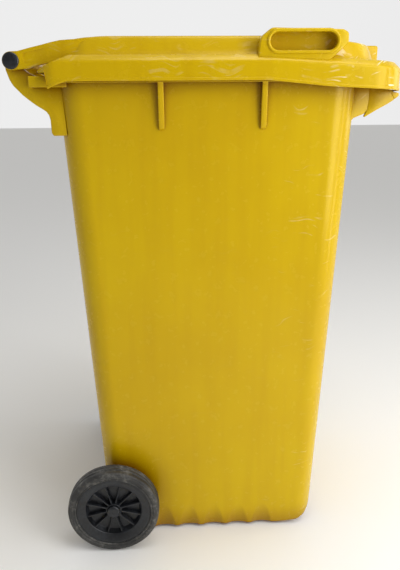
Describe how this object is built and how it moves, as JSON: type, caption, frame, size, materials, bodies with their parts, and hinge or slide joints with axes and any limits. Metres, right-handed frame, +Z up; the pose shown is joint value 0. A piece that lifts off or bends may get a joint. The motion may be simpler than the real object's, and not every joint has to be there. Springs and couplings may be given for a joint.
{
  "type": "wheelie bin",
  "caption": "Tall two-wheeled refuse bin with a hinged crowned lid, side finger grips, a rear handle bar and a lifting comb.",
  "frame": {"origin": "centre of the footprint, on the ground", "axes": "+X towards the front of the bin, +Y towards its left side, +Z up"},
  "size_m": [0.728, 0.58, 1.081],
  "materials": {
    "body_hdpe": "semi-gloss moulded, lightly scuffed",
    "lid_hdpe": "semi-gloss moulded, scratched at the front",
    "black_nylon": "satin",
    "rim_plastic": "satin moulded",
    "tyre_rubber": "dusty",
    "steel": "drawn",
    "zinc_steel": "zinc plated"
  },
  "bodies": {
    "frame": {"bin_body": "body_hdpe", "hinge_pin_left": "black_nylon", "hinge_pin_right": "black_nylon", "axle": "steel", "spacer_left": "black_nylon", "spacer_right": "black_nylon", "inner_washer_left": "zinc_steel", "inner_washer_right": "zinc_steel", "outer_washer_left": "zinc_steel", "outer_washer_right": "zinc_steel", "push_nut_left": "zinc_steel", "push_nut_right": "zinc_steel"},
    "lid": {"lid": "lid_hdpe"},
    "wheel_left": {"tyre_left": "tyre_rubber", "wheel_rim_left": "rim_plastic", "hub_cap_left": "black_nylon"},
    "wheel_right": {"tyre_right": "tyre_rubber", "wheel_rim_right": "rim_plastic", "hub_cap_right": "black_nylon"}
  },
  "joints": [
    {"name": "lid_hinge", "type": "hinge", "parent": "frame", "child": "lid", "pos_m": [-0.3485, 0, 1.03], "axis": [0, -1, 0], "range_deg": [0, 270]},
    {"name": "wheel_left_spin", "type": "hinge", "parent": "frame", "child": "wheel_left", "pos_m": [-0.213, 0.267, 0.1], "axis": [0, 1, 0], "continuous": true},
    {"name": "wheel_right_spin", "type": "hinge", "parent": "frame", "child": "wheel_right", "pos_m": [-0.213, -0.267, 0.1], "axis": [0, 1, 0], "continuous": true}
  ]
}
